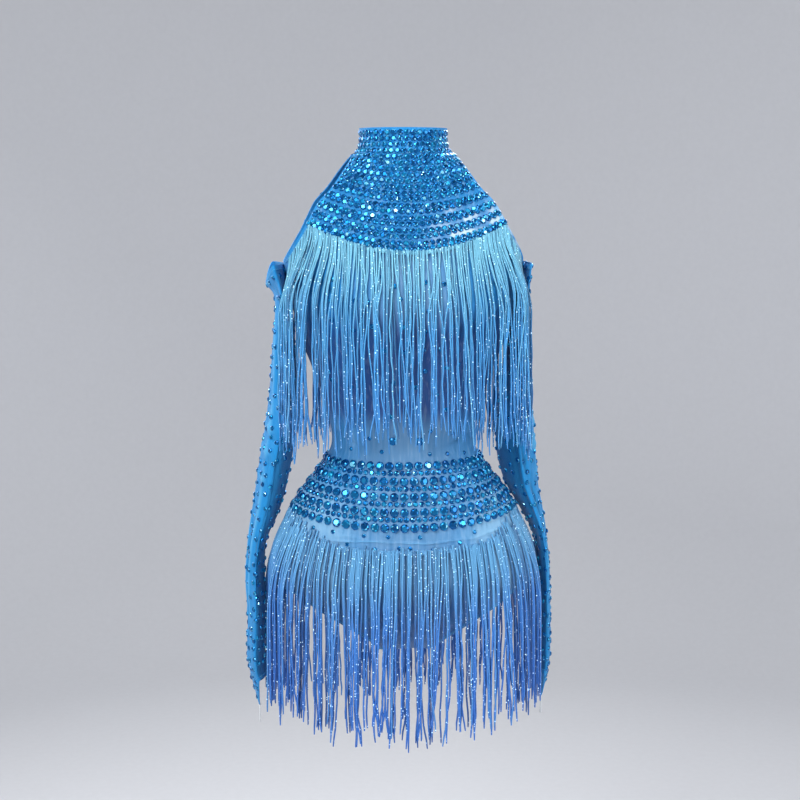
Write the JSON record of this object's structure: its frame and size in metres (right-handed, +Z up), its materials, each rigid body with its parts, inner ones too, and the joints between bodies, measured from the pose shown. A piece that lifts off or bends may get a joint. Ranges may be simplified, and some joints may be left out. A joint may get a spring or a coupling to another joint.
{
  "type": "long-sleeved high-leg bodysuit with rhinestones and fringe, hollow as worn (the order's rhinestone fringe jumpsuit)",
  "caption": "Hollow stage bodysuit with high stoned collar, cold shoulders, long sleeves, stoned belt and two rows of fringe, in blue mesh.",
  "frame": {"origin": "middle of the neck at the seam between collar and bodice, where the wearer's neck and shoulders hold the garment", "axes": "+Z up, -Y towards the front of the garment, +X to the wearer's left"},
  "size_m": [0.4105, 0.2389, 0.788],
  "materials": {
    "mesh": "sky-blue power mesh, matte with a faint nylon sheen",
    "fringe": "metallic chainette cord in bright blue, glittering",
    "stones": "foil-backed faceted glass in deep teal blue",
    "elastic": "white round elastic",
    "nickel": "nickel plated, bright"
  },
  "bodies": {
    "root": {"collar": "mesh", "front_body": "mesh", "back_body_left": "mesh", "back_body_right": "mesh", "sleeve_left": "mesh", "sleeve_right": "mesh", "finger_loop_left": "elastic", "finger_loop_right": "elastic", "closure_upper": "nickel", "closure_lower": "nickel", "chest_fringe_front": "fringe", "chest_fringe_back": "fringe", "hip_fringe_front": "fringe", "hip_fringe_back": "fringe"}
  },
  "joints": []
}
